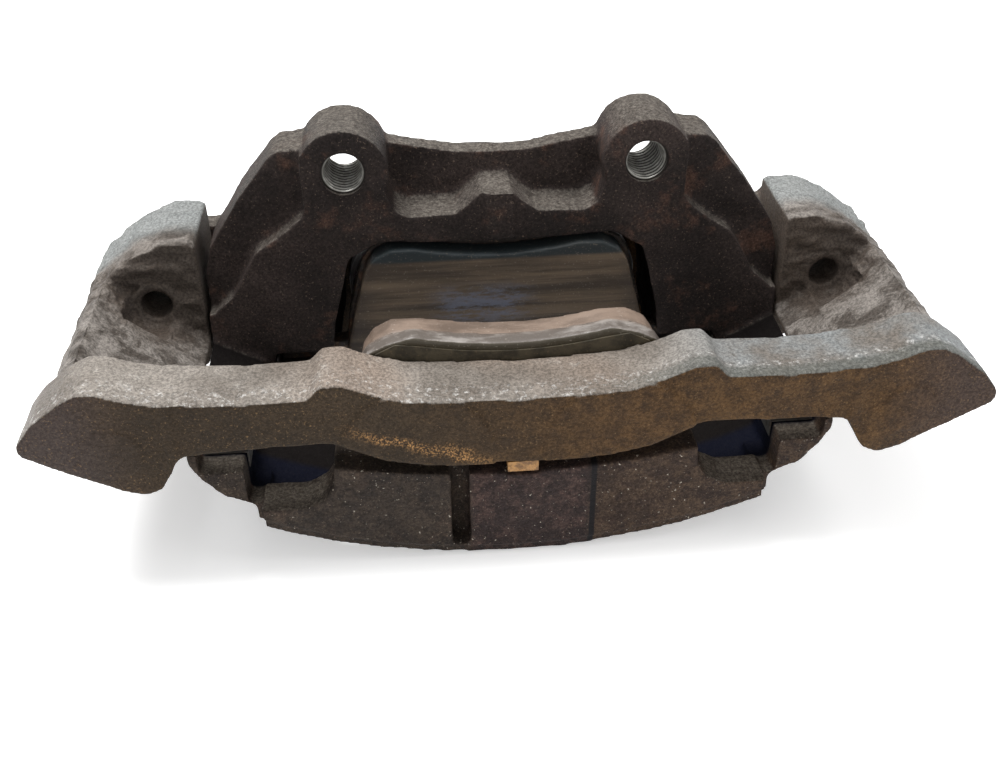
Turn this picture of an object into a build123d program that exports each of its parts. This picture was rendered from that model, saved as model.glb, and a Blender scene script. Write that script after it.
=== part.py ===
from build123d import *
import math
import os

# Frame: the origin is midway between the two threaded ears, on their inboard face.
# +X runs along the caliper, +Y points inboard (towards the knuckle), +Z towards the wheel hub.
# The wheel axis is parallel to Y and passes through (0, AXIS_Z).

# --- driving dimensions (millimetres) ---
AXIS_Z = 99.0             # height of the wheel axis above the ears
INNER_R = 189.5           # underside of everything that crosses the disc rim
OUTER_R = 203.5           # outer skin of the crossing arms
HOUSING_OUTER_R = 205.5   # outer skin of the housing's side arms

EAR_X = 50.0              # half the distance between the ears
EAR_R = 15.0              # ear boss
EAR_THREAD_R = 6.2        # M14 thread, taken at its minor radius
PLATE_FRONT_Y = -24.0     # outboard face of the ear plate
WEB_Y = -8.5              # outboard face of the thin web behind the pad window
SLOT_X0 = 57.5            # slots for the inner pad's ears, inner end
SLOT_X1 = 79.5            # and outer end
LEDGE_X0 = 79.5           # ledges for the outer pad's ears, inner end
RAISED_Y = -66.5          # where the crossing arms grow taller to hold those ledges
SIDE_WEB_X0 = 59.0        # thin webs beside the crossing arms, inner side
SIDE_WEB_X1 = 86.0        # and outer side

PAD_OUTER_R = 182.0       # outer edge of the pads, just inside the disc rim
PAD_INNER_R = 129.0       # inner edge of the pads
OUTER_EAR = (97.2, -65.0, -58.0)   # outer pad's ears: half length, lower face, upper face
INNER_EAR = (78.4, -76.0, -69.5)   # inner pad's ears
EAR_GAP = 0.5             # room between an ear and its ledge, filled by the clip

WING_X0 = 84.0            # carrier arm that crosses the disc, inner side
WING_X1 = 101.0           # and outer side
WEB_R = 197.0             # underside of the thin web beside each crossing arm
TIE_Y0 = -98.0            # outboard tie, outboard face
TIE_Y1 = -83.8            # outboard tie, inboard face
TIE_OUTER_R = 201.7       # outer skin of the tie at mid span

TIE_TOP_Z = -61.5         # top of the tie at the ends of its middle block
TIE_DIP_Z = -67.5         # and at mid span
TIE_END_X = 80.0          # half the tie's length at its shoulders
TAB_X = 1.5               # tab of the outer shim, which passes through a notch in the tie

BAR_Y0 = -104.0           # clamp bar, outboard face
BAR_Y1 = -82.7            # clamp bar, inboard face
ARM_X0 = 101.4            # housing side arm, inner side
ARM_END_Y = 12.0          # inboard end of the side arms
ARM_FACE_Y = -22.0        # outboard face of the arm's thick inboard part

BLOCK_Y0 = 3.0            # cylinder block, outboard face
BLOCK_Y1 = 55.0           # cylinder block, inboard face
PISTON_X = 30.5           # half the distance between the pistons
PISTON_Z = -54.0
PISTON_R = 20.0
FIT = 0.06                # radial running clearance

PIN_X = 118.0             # guide pins
PIN_Z = -47.0
PIN_R = 5.44
PIN_BORE_R = 5.5
LUG_Y0 = 26.0             # carrier lug that holds the guide pin
LUG_Y1 = 36.0

BLEEDER_X = 44.0          # bleeder screw, on the cylinder block's inboard face
BLEEDER_Z = -58.0


def ring_z(radius, x):
    """Height at x of a circle about the wheel axis."""
    return AXIS_Z - math.sqrt(radius * radius - x * x)


def both_sides(half):
    """Close a half outline (from the middle outwards and back) with its mirror image."""
    return half + [(-x, z) for x, z in reversed(half) if x > 0.001]


def on_side(points, side):
    return [(side * x, z) for x, z in points]


def front_plane(y):
    """Plane across the caliper at depth y. Extruding goes outboard, towards -Y."""
    return Plane.XZ.offset(-y)


def wheel_ring(plane, radius_in, radius_out):
    """Ring about the wheel axis, added to the current sketch."""
    with Locations((0, AXIS_Z)):
        Circle(radius_out)
        Circle(radius_in, mode=Mode.SUBTRACT)


SIDES = (("left", -1), ("right", 1))
os.makedirs("parts", exist_ok=True)

# --- outlines (x, z), right half ---
PLATE_OUTLINE = [
    (34, -25), (34, -14), (36, -8), (36, 2), (EAR_X, 8), (62, 7), (71, 6.5), (74.5, 4), (86, -10),
    (98, -28), (100.5, -38), (101, -66), (82, -83), (66, -83), (61, -79), (59, -70), (57, -57),
    (54.5, -48), (50.5, -32), (40, -26),
]
RIDGE_OUTLINE = [
    (64, 12), (64, -14), (69, -18.5), (74, -22.3), (82, -27.5), (87, -36), (91, -43.5), (99, -50.7),
    (108, -51), (108, 20), (70, 20),
]
WEB_OUTLINE = [
    (0, -0.8), (14, 0), (27, 2.5), (36, 4.2), (60, 4), (86, -12), (97, -28), (100, -38),
    (101, ring_z(OUTER_R, 101)),
    (WING_X0, ring_z(OUTER_R, WING_X0)), (66, -86), (58, -80), (54, -60), (53.5, -50),
    (51, -32), (40, -26), (0, -27.5),
]
# cut off the arms' lower outer corners
CORNER_OUTLINE = [(103, -57), (98.5, -68), (92, -76), (82.6, -80.5), (82.6, -95), (103, -95)]
RAIL_OUTLINE = [
    (0, -8.3), (5, -8.3), (9, -12), (14, -16), (30, -16.3), (34, -14), (44, -8), (52, -20),
    (40, -26), (0, -27.5),
]

# --- carrier: ears, plate with the pad window, crossing arms, outboard tie and guide pin lugs ---
with BuildPart() as carrier:
    # rear web, full width, with the window for the inner pad open at the bottom
    with BuildSketch(front_plane(0)):
        with BuildLine():
            Polyline(*both_sides(WEB_OUTLINE), close=True)
        make_face()
    extrude(amount=-WEB_Y)
    # front rail between the ears, lower than the web, with its raised middle
    with BuildSketch(front_plane(0)):
        with BuildLine():
            Polyline(*both_sides(RAIL_OUTLINE), close=True)
        make_face()
    extrude(amount=-PLATE_FRONT_Y)
    # low rib down the middle of the rail
    with BuildSketch(front_plane(PLATE_FRONT_Y)):
        with Locations((1.5, -17)):
            Rectangle(9, 17)
    extrude(amount=1.5)
    # thick side plates and ear bosses
    with BuildSketch(front_plane(0)) as plate_sketch:
        for name, side in SIDES:
            with BuildLine():
                Polyline(*on_side(PLATE_OUTLINE, side), close=True)
            make_face()
        fillet(plate_sketch.vertices(), radius=2)
        with Locations((-EAR_X, 0), (EAR_X, 0)):
            Circle(EAR_R)
    extrude(amount=-PLATE_FRONT_Y)
    # the outer corner of each plate steps back behind a ridge
    with BuildSketch(front_plane(PLATE_FRONT_Y + 6)) as step_back:
        for name, side in SIDES:
            with BuildLine():
                Polyline(*on_side(RIDGE_OUTLINE, side), close=True)
            make_face()
        fillet(step_back.vertices(), radius=2)
        with Locations((-EAR_X, 0), (EAR_X, 0)):
            Circle(EAR_R - 0.5, mode=Mode.SUBTRACT)
    extrude(amount=10, mode=Mode.SUBTRACT)
    # slots for the inner pad's ears, open towards the disc
    slot_z = (INNER_EAR[1] + INNER_EAR[2]) / 2
    slot_height = INNER_EAR[2] - INNER_EAR[1] + 2 * EAR_GAP
    with BuildSketch(front_plane(WEB_Y - 0.5)):
        with Locations((-(SLOT_X0 + SLOT_X1) / 2, slot_z), ((SLOT_X0 + SLOT_X1) / 2, slot_z)):
            Rectangle(SLOT_X1 - SLOT_X0, slot_height)
    extrude(amount=30, mode=Mode.SUBTRACT)
    # arms that cross the disc rim
    with BuildSketch(front_plane(0)):
        wheel_ring(Plane.XZ, INNER_R, OUTER_R)
        with Locations((-(WING_X0 + WING_X1) / 2, -70), ((WING_X0 + WING_X1) / 2, -70)):
            Rectangle(WING_X1 - WING_X0, 60, mode=Mode.INTERSECT)
    extrude(amount=-TIE_Y1 + 8)
    # thin webs beside the crossing arms, clear of the disc rim
    with BuildSketch(front_plane(0)):
        wheel_ring(Plane.XZ, WEB_R, OUTER_R)
        web_x = (SIDE_WEB_X0 + SIDE_WEB_X1) / 2
        with Locations((-web_x, -80), (web_x, -80)):
            Rectangle(SIDE_WEB_X1 - SIDE_WEB_X0, 60, mode=Mode.INTERSECT)
    extrude(amount=-TIE_Y1 + 2)
    # raised ends of the crossing arms, and the ledges in them for the outer pad's ears
    with BuildSketch(front_plane(RAISED_Y)):
        with Locations((-(WING_X0 + WING_X1) / 2, -67), ((WING_X0 + WING_X1) / 2, -67)):
            Rectangle(WING_X1 - WING_X0, 17)
    extrude(amount=RAISED_Y - TIE_Y1 + 8)
    ledge_x = (LEDGE_X0 + OUTER_EAR[0] + EAR_GAP) / 2
    with BuildSketch(front_plane(-63)):
        with Locations((-ledge_x, OUTER_EAR[1] - EAR_GAP + 7), (ledge_x, OUTER_EAR[1] - EAR_GAP + 7)):
            Rectangle(OUTER_EAR[0] + EAR_GAP - LEDGE_X0, 14)
    extrude(amount=40, mode=Mode.SUBTRACT)
    # outboard tie with its raised middle block
    with BuildSketch(front_plane(TIE_Y1)) as tie_face:
        with BuildLine():
            arc_z = ring_z(TIE_OUTER_R, TIE_END_X)
            step = [(TIE_END_X, -77), (66, -77), (60, -74), (57, -69), (56.5, TIE_TOP_Z)]
            ThreePointArc((-TIE_END_X, arc_z), (0, AXIS_Z - TIE_OUTER_R), (TIE_END_X, arc_z))
            Polyline((TIE_END_X, arc_z), *step)
            ThreePointArc((56.5, TIE_TOP_Z), (0, TIE_DIP_Z), (-56.5, TIE_TOP_Z))
            Polyline((-TIE_END_X, arc_z), *on_side(step, -1))
        make_face()
        with Locations((TAB_X, TIE_DIP_Z + 4)):
            Rectangle(12, 10, mode=Mode.SUBTRACT)
    extrude(amount=TIE_Y1 - TIE_Y0)
    # the corners where the tie meets the crossing arms
    with BuildSketch(front_plane(TIE_Y1 + 9)):
        wheel_ring(Plane.XZ, INNER_R, OUTER_R - 1)
        with Locations((-87, -83.5), (87, -83.5)):
            Rectangle(18, 9, mode=Mode.INTERSECT)
    extrude(amount=17)
    # slanted lower outer corners of the crossing arms
    with BuildSketch(front_plane(PLATE_FRONT_Y)):
        for name, side in SIDES:
            with BuildLine():
                Polyline(*on_side(CORNER_OUTLINE, side), close=True)
            make_face()
    extrude(amount=PLATE_FRONT_Y - TIE_Y0, mode=Mode.SUBTRACT)
    # slot and groove that mark out the middle block
    with BuildSketch(front_plane(TIE_Y0 + 8)):
        with Locations((-18, -75)):
            Rectangle(5, 43)
        with Locations((24, -72)):
            Rectangle(1.8, 44)
    extrude(amount=12, mode=Mode.SUBTRACT)
    # shallow step along the tie's lower front edge
    with BuildSketch(front_plane(TIE_Y0 + 1.8)):
        wheel_ring(Plane.XZ, TIE_OUTER_R - 4, TIE_OUTER_R + 2)
        with Locations((0, -95)):
            Rectangle(2 * TIE_END_X + 2, 40, mode=Mode.INTERSECT)
    extrude(amount=4, mode=Mode.SUBTRACT)
    # lugs that reach round the housing to the guide pins
    for name, side in SIDES:
        with BuildSketch(front_plane(LUG_Y1)):
            with Locations((side * 89, -51)):
                Rectangle(18, 18)
        extrude(amount=LUG_Y1 - WEB_Y)
        with BuildSketch(front_plane(LUG_Y1)):
            with Locations((side * 104, -51)):
                Rectangle(30, 18)
            with Locations((side * PIN_X, PIN_Z)):
                Circle(11)
        extrude(amount=LUG_Y1 - LUG_Y0)
        with BuildSketch(front_plane(LUG_Y1)):
            with Locations((side * PIN_X, PIN_Z)):
                Circle(4.2)
        extrude(amount=LUG_Y1 - LUG_Y0, mode=Mode.SUBTRACT)
    # threaded ear holes
    with BuildSketch(front_plane(0)):
        with Locations((-EAR_X, 0), (EAR_X, 0)):
            Circle(EAR_THREAD_R)
    extrude(amount=-PLATE_FRONT_Y, mode=Mode.SUBTRACT)

carrier.part.label = "carrier"
export_step(carrier.part, "parts/carrier.step")

# --- housing: clamp bar, two side arms over the disc, and the twin cylinder block ---
BAR_OUTLINE = [
    (0, -35), (32, -33.8), (42.5, -30.4), (51, -26.7), (57, -26.4), (61, -31), (80, -31.5), (104, -30),
    (112, -28), (118, -25.5), (124, -25), (130, -28), (139, -35), (144.8, -42), (144.5, -46.5),
    (131, -54), (118, -61.5), (111, -63.5), (106, -61.5), (103, -56.5),
    (100.5, -51), (96.5, -49.5), (88, -49), (62, -48), (54, -48.5), (40, -55.5), (26, -58.5), (0, -59.5),
]
ARM_OUTLINE = [
    (ARM_X0 + 0.4, -23.5), (113, -23.5), (124, -28), (132, -34), (137, -39), (140.5, -45), (136, -54),
    (126, -62), (116, ring_z(OUTER_R, 116)), (104, ring_z(OUTER_R, 104)), (ARM_X0 + 0.4, -66),
]
BAND_ENVELOPE = [
    (118, -95), (118, -75), (112, -66.5), (ARM_X0, -63.5), (ARM_X0, -30), (130, -30), (134, -36.3),
    (138, -38.5), (142, -44.5), (150, -60), (150, -95),
]

with BuildPart() as housing:
    # clamp bar with its drooping ends
    with BuildSketch(front_plane(BAR_Y1)) as bar_sketch:
        with BuildLine():
            Polyline(*both_sides(BAR_OUTLINE), close=True)
        make_face()
        fillet(bar_sketch.vertices(), radius=3.5)
    extrude(amount=BAR_Y1 - BAR_Y0)
    # side arms: a curved band that crosses the disc rim
    with BuildSketch(front_plane(ARM_END_Y)):
        for name, side in SIDES:
            with BuildLine():
                Polyline(*on_side(BAND_ENVELOPE, side), close=True)
            make_face()
        with Locations((0, AXIS_Z)):
            Circle(INNER_R, mode=Mode.SUBTRACT)
            Circle(HOUSING_OUTER_R, mode=Mode.INTERSECT)
    extrude(amount=ARM_END_Y - BAR_Y1 + 1)
    # thick inboard part of each side arm
    with BuildSketch(front_plane(ARM_END_Y)) as arm_sketch:
        for name, side in SIDES:
            with BuildLine():
                Polyline(*on_side(ARM_OUTLINE, side), close=True)
            make_face()
        fillet(arm_sketch.vertices(), radius=3)
    extrude(amount=ARM_END_Y - ARM_FACE_Y)
    # crossbar from the arms to the cylinder block, behind the carrier's plate
    with BuildSketch(front_plane(20)):
        wheel_ring(Plane.XZ, 150, OUTER_R)
        with Locations((0, -76)):
            Rectangle(236, 26, mode=Mode.INTERSECT)
    extrude(amount=20 - BLOCK_Y0)
    # twin cylinder block
    with BuildSketch(front_plane(BLOCK_Y1)):
        with Locations((0, PISTON_Z)):
            SlotCenterToCenter(2 * PISTON_X, 54)
    extrude(amount=BLOCK_Y1 - BLOCK_Y0)
    fillet(housing.faces().filter_by(Axis.Y).sort_by(Axis.Y)[-1].edges(), radius=6)
    # bleeder boss and hose boss
    with BuildSketch(front_plane(BLOCK_Y1 + 5)):
        with Locations((0, PISTON_Z)):
            Circle(11)
        with Locations((BLEEDER_X, BLEEDER_Z)):
            Circle(8)
    extrude(amount=16)
    # cylinder bores, seal grooves and boot recesses
    with BuildSketch(front_plane(47)):
        with Locations((-PISTON_X, PISTON_Z), (PISTON_X, PISTON_Z)):
            Circle(PISTON_R + FIT)
    extrude(amount=47 - BLOCK_Y0, mode=Mode.SUBTRACT)
    with BuildSketch(front_plane(14)):
        with Locations((-PISTON_X, PISTON_Z), (PISTON_X, PISTON_Z)):
            Circle(PISTON_R + 2.6)
    extrude(amount=4, mode=Mode.SUBTRACT)
    with BuildSketch(front_plane(7)):
        with Locations((-PISTON_X, PISTON_Z), (PISTON_X, PISTON_Z)):
            Circle(PISTON_R + 2)
    extrude(amount=7 - BLOCK_Y0, mode=Mode.SUBTRACT)
    # drilling that joins the two cylinders
    with BuildSketch(Plane.YZ.offset(-PISTON_X)):
        with Locations((43, PISTON_Z)):
            Circle(2.5)
    extrude(amount=2 * PISTON_X, mode=Mode.SUBTRACT)
    # hose inlet: threaded hole and passage
    with BuildSketch(front_plane(BLOCK_Y1 + 5)):
        with Locations((0, PISTON_Z)):
            Circle(4.5)
    extrude(amount=12, mode=Mode.SUBTRACT)
    with BuildSketch(front_plane(BLOCK_Y1)):
        with Locations((0, PISTON_Z)):
            Circle(1.8)
    extrude(amount=12, mode=Mode.SUBTRACT)
    # bleeder hole and its passage into the right cylinder
    with BuildSketch(front_plane(BLOCK_Y1 + 5)):
        with Locations((BLEEDER_X, BLEEDER_Z)):
            Circle(4)
    extrude(amount=10, mode=Mode.SUBTRACT)
    with BuildSketch(front_plane(BLOCK_Y1 - 4)):
        with Locations((BLEEDER_X, BLEEDER_Z)):
            Circle(1.5)
    extrude(amount=6, mode=Mode.SUBTRACT)
    # hollow in each arm in front of its guide pin bore
    with BuildSketch(front_plane(ARM_FACE_Y)):
        with Locations((-PIN_X, PIN_Z + 1), (PIN_X, PIN_Z + 1)):
            Circle(9)
    extrude(amount=13, mode=Mode.SUBTRACT)
    # guide pin bores, wider at the inboard end for the bushes
    with BuildSketch(front_plane(ARM_END_Y)):
        with Locations((-PIN_X, PIN_Z), (PIN_X, PIN_Z)):
            Circle(PIN_BORE_R)
    extrude(amount=ARM_END_Y - ARM_FACE_Y, mode=Mode.SUBTRACT)
    with BuildSketch(front_plane(ARM_END_Y)):
        with Locations((-PIN_X, PIN_Z), (PIN_X, PIN_Z)):
            Circle(8)
    extrude(amount=16, mode=Mode.SUBTRACT)
housing.part.label = "housing"
export_step(housing.part, "parts/housing.step")

# --- guide pins, bolts, boots and bushes, one of each per side ---
for name, side in SIDES:
    pin_axis = (side * PIN_X, PIN_Z)
    # plain pin with a flange that seats on the carrier's lug, drilled for its bolt
    with BuildPart() as guide_pin:
        with BuildSketch(front_plane(LUG_Y0)):
            with Locations(pin_axis):
                Circle(PIN_R)
        extrude(amount=LUG_Y0 + 6)
        chamfer(guide_pin.edges().sort_by(Axis.Y)[0], length=1)
        with BuildSketch(front_plane(LUG_Y0)):
            with Locations(pin_axis):
                RegularPolygon(8, 6)
        extrude(amount=3)
        with BuildSketch(front_plane(LUG_Y0)):
            with Locations(pin_axis):
                Circle(4)
        extrude(amount=20, mode=Mode.SUBTRACT)
    guide_pin.part.label = f"guide_pin_{name}"
    export_step(guide_pin.part, f"parts/guide_pin_{name}.step")

    # flanged hexagon bolt through the lug into the pin
    with BuildPart() as guide_pin_bolt:
        with BuildSketch(front_plane(LUG_Y1)):
            with Locations(pin_axis):
                Circle(4)
        extrude(amount=LUG_Y1 - LUG_Y0 + 18)
        with BuildSketch(front_plane(LUG_Y1 + 1.6)):
            with Locations(pin_axis):
                Circle(8.5)
        extrude(amount=1.6)
        with BuildSketch(front_plane(LUG_Y1 + 7)):
            with Locations(pin_axis):
                RegularPolygon(7, 6)
        extrude(amount=6)
        chamfer(guide_pin_bolt.edges().group_by(Axis.Y)[-1], length=0.6)
    guide_pin_bolt.part.label = f"guide_pin_bolt_{name}"
    export_step(guide_pin_bolt.part, f"parts/guide_pin_bolt_{name}.step")

    # bellows between the arm and the pin's flange
    with BuildPart() as guide_pin_boot:
        with BuildSketch(Plane.XY.offset(PIN_Z)):
            with BuildLine():
                boot_start = ARM_END_Y + 0.3
                boot_end = LUG_Y0 - 3
                pitch = (boot_end - boot_start) / 3
                folds = []
                for turn in range(3):
                    folds.append((side * PIN_X + 7.2, boot_start + turn * pitch))
                    folds.append((side * PIN_X + 9.8, boot_start + (turn + 0.5) * pitch))
                inner = [(x - 1.4, y) for x, y in reversed(folds)]
                top = [(side * PIN_X + 7.2, boot_end), (side * PIN_X + 5.8, boot_end)]
                Polyline(*folds, *top, *inner, close=True)
            make_face()
        revolve(axis=Axis((side * PIN_X, 0, PIN_Z), (0, 1, 0)))
    guide_pin_boot.part.label = f"guide_pin_boot_{name}"
    export_step(guide_pin_boot.part, f"parts/guide_pin_boot_{name}.step")

    # bush pressed into the arm, which the pin runs in
    with BuildPart() as guide_bush:
        with BuildSketch(front_plane(ARM_END_Y)):
            with Locations(pin_axis):
                Circle(8)
                Circle(PIN_BORE_R, mode=Mode.SUBTRACT)
        extrude(amount=16)
    guide_bush.part.label = f"guide_bush_{name}"
    export_step(guide_bush.part, f"parts/guide_bush_{name}.step")

# --- pistons with their seals and dust boots, one of each per side ---
PISTON_NOSE_Y = -8.8
PISTON_TAIL_Y = 38.0

for name, side in SIDES:
    piston_axis = (side * PISTON_X, PISTON_Z)
    # cup-shaped piston, open towards the pad, with a groove for the boot's lip
    with BuildPart() as piston:
        with BuildSketch(front_plane(PISTON_TAIL_Y)):
            with Locations(piston_axis):
                Circle(PISTON_R)
        extrude(amount=PISTON_TAIL_Y - PISTON_NOSE_Y)
        chamfer(piston.edges().sort_by(Axis.Y)[-1], length=1)
        with BuildSketch(front_plane(PISTON_TAIL_Y - 7)):
            with Locations(piston_axis):
                Circle(15)
        extrude(amount=60, mode=Mode.SUBTRACT)
        with BuildSketch(front_plane(PISTON_NOSE_Y + 6)):
            with Locations(piston_axis):
                Circle(PISTON_R + 1)
                Circle(PISTON_R - 1.5, mode=Mode.SUBTRACT)
        extrude(amount=2.5, mode=Mode.SUBTRACT)
    piston.part.label = f"piston_{name}"
    export_step(piston.part, f"parts/piston_{name}.step")

    # square-section seal in the cylinder's groove
    with BuildPart() as piston_seal:
        with BuildSketch(front_plane(14)):
            with Locations(piston_axis):
                Circle(PISTON_R + 2.6)
                Circle(PISTON_R + FIT, mode=Mode.SUBTRACT)
        extrude(amount=4)
    piston_seal.part.label = f"piston_seal_{name}"
    export_step(piston_seal.part, f"parts/piston_seal_{name}.step")

    # dust boot: one fold, from the cylinder's mouth to the piston's nose
    with BuildPart() as dust_boot:
        with BuildSketch(Plane.XY.offset(PISTON_Z)):
            with BuildLine():
                x0 = side * PISTON_X + PISTON_R
                Polyline(
                    (x0 + 0.3, 7), (x0 + 2, 7), (x0 + 2, 2), (x0 + 1.3, 0.5), (x0 + 2, -1.5),
                    (x0 + 1.4, -5.2), (x0 + 0.3, -5.2), (x0 + 0.3, -3.6), (x0 + 0.9, -2),
                    (x0 + 0.3, 0.5), close=True,
                )
            make_face()
        revolve(axis=Axis((side * PISTON_X, 0, PISTON_Z), (0, 1, 0)))
    dust_boot.part.label = f"dust_boot_{name}"
    export_step(dust_boot.part, f"parts/dust_boot_{name}.step")

# --- bleeder screw and its cap ---
BLEEDER_SEAT_Y = BLOCK_Y1 + 6     # underside of the bleeder's hexagon

with BuildPart() as bleeder_screw:
    with BuildSketch(front_plane(BLEEDER_SEAT_Y)):
        with Locations((BLEEDER_X, BLEEDER_Z)):
            Circle(3.94)
    extrude(amount=10)
    with BuildSketch(front_plane(BLEEDER_SEAT_Y + 5)):
        with Locations((BLEEDER_X, BLEEDER_Z)):
            RegularPolygon(5.2, 6)
    extrude(amount=5)
    with BuildSketch(front_plane(BLEEDER_SEAT_Y + 14)):
        with Locations((BLEEDER_X, BLEEDER_Z)):
            Circle(2.6)
    extrude(amount=9)
    with BuildSketch(front_plane(BLEEDER_SEAT_Y + 14)):
        with Locations((BLEEDER_X, BLEEDER_Z)):
            Circle(0.8)
    extrude(amount=20, mode=Mode.SUBTRACT)
bleeder_screw.part.label = "bleeder_screw"
export_step(bleeder_screw.part, "parts/bleeder_screw.step")

with BuildPart() as bleeder_cap:
    with BuildSketch(front_plane(BLEEDER_SEAT_Y + 16.5)):
        with Locations((BLEEDER_X, BLEEDER_Z)):
            Circle(4.2)
    extrude(amount=11)
    fillet(bleeder_cap.edges().sort_by(Axis.Y)[-1], radius=1.5)
    with BuildSketch(front_plane(BLEEDER_SEAT_Y + 14)):
        with Locations((BLEEDER_X, BLEEDER_Z)):
            Circle(2.6)
    extrude(amount=8.5, mode=Mode.SUBTRACT)
bleeder_cap.part.label = "bleeder_cap"
export_step(bleeder_cap.part, "parts/bleeder_cap.step")

# --- brake pads ---
PAD_SHOULDER = [(38, -28.5), (44, -31.5), (47, -36), (50, -47), (52.5, -56)]
PAD_LOW_X = 56.5          # half width where the sides meet the outer arc
PAD_TOP_X = 30.0          # half width of the curved top edge


def pad_profile(ear, inset):
    """Pad outline between its two arcs. ear is (half length, lower face, upper face), or None."""
    top_x = PAD_TOP_X - inset
    top_z = ring_z(PAD_INNER_R + inset, top_x)
    right = [(x - inset, z) for x, z in PAD_SHOULDER]
    outer_x = PAD_LOW_X - inset
    outer_z = ring_z(PAD_OUTER_R - inset, outer_x)
    if ear:
        ear_x, ear_low, ear_high = ear
        right += [(54.5, ear_high), (ear_x, ear_high), (ear_x, ear_low)]
        if ear_low < outer_z:
            outer_x = math.sqrt(PAD_OUTER_R ** 2 - (AXIS_Z - ear_low) ** 2)
            outer_z = ear_low
        else:
            right += [(outer_x, ear_low)]
    ThreePointArc((-top_x, top_z), (0, AXIS_Z - PAD_INNER_R - inset), (top_x, top_z))
    Polyline((top_x, top_z), *right, (outer_x, outer_z))
    ThreePointArc((outer_x, outer_z), (0, AXIS_Z - PAD_OUTER_R + inset), (-outer_x, outer_z))
    Polyline((-top_x, top_z), *on_side(right, -1), (-outer_x, outer_z))


INNER_FACE_Y = -25.0      # friction face of the inner pad
INNER_PLATE_Y = -16.0     # where its friction block meets the backing plate
INNER_BACK_Y = -9.5
OUTER_FACE_Y = -66.5
OUTER_PLATE_Y = -75.5
OUTER_BACK_Y = -82.0
SHIM = 0.5
TAB_REACH = 16.8          # how far the outer shim's tab comes forward

# each pad: name, friction face, plate joint, plate back, the way its back faces, and its ears
PADS = (
    ("inner", INNER_FACE_Y, INNER_PLATE_Y, INNER_BACK_Y, 1, INNER_EAR),
    ("outer", OUTER_FACE_Y, OUTER_PLATE_Y, OUTER_BACK_Y, -1, OUTER_EAR),
)

for place, face_y, joint_y, back_y, back_way, ear in PADS:
    # steel backing plate with an ear at each end
    with BuildPart() as pad_plate:
        with BuildSketch(front_plane(max(joint_y, back_y))):
            with BuildLine():
                pad_profile(ear, 0)
            make_face()
        extrude(amount=abs(back_y - joint_y))
    pad_plate.part.label = f"{place}_pad_plate"
    export_step(pad_plate.part, f"parts/{place}_pad_plate.step")

    # friction block
    with BuildPart() as pad_friction:
        with BuildSketch(front_plane(max(joint_y, face_y))):
            with BuildLine():
                pad_profile(None, 1.5)
            make_face()
        extrude(amount=abs(face_y - joint_y))
    pad_friction.part.label = f"{place}_pad_friction"
    export_step(pad_friction.part, f"parts/{place}_pad_friction.step")

    # thin shim on the plate's back; the outer one has a tab folded forwards
    with BuildPart() as pad_shim:
        with BuildSketch(front_plane(max(back_y, back_y + back_way * SHIM))):
            with BuildLine():
                pad_profile(None, 2.5)
            make_face()
        extrude(amount=SHIM)
        if place == "outer":
            with BuildSketch(front_plane(back_y)):
                with Locations((TAB_X, TIE_DIP_Z + 4.5)):
                    Rectangle(9.5, 0.8)
            extrude(amount=TAB_REACH)
            with BuildSketch(front_plane(back_y - TAB_REACH + 5)):
                with Locations((TAB_X, TIE_DIP_Z + 3)):
                    Rectangle(9.5, 3.8)
            extrude(amount=5)
    pad_shim.part.label = f"{place}_pad_shim"
    export_step(pad_shim.part, f"parts/{place}_pad_shim.step")

# --- pad clips: thin spring strips between the pad ears and the carrier's ledges ---
CLIP = 0.4
# each clip: name, inboard end, outboard end, ear, and the x of its ledge's ends
CLIP_SPANS = (
    ("inner", WEB_Y - 0.7, PLATE_FRONT_Y - 1, INNER_EAR, 60.0, 79.4),
    ("outer", -66.7, -83.0, OUTER_EAR, WING_X0 - CLIP, 97.4),
)

for place, clip_y1, clip_y0, ear, ledge_x0, ledge_x1 in CLIP_SPANS:
    ledge_z = ear[1] - EAR_GAP
    leg_x = ledge_x1 - CLIP / 2 if place == "inner" else ledge_x0 + CLIP / 2
    leg_z = ledge_z + 3 if place == "inner" else ledge_z - 2.6
    for name, side in SIDES:
        with BuildPart() as pad_clip:
            with BuildSketch(front_plane(clip_y1)):
                with Locations((side * (ledge_x0 + ledge_x1) / 2, ledge_z + CLIP / 2)):
                    Rectangle(ledge_x1 - ledge_x0, CLIP)
                with Locations((side * leg_x, leg_z)):
                    Rectangle(CLIP, 6)
            extrude(amount=clip_y1 - clip_y0)
        pad_clip.part.label = f"pad_clip_{place}_{name}"
        export_step(pad_clip.part, f"parts/pad_clip_{place}_{name}.step")
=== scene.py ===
import math

import bmesh
import bpy
import numpy as np
from mathutils import Matrix, Vector, noise


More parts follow.
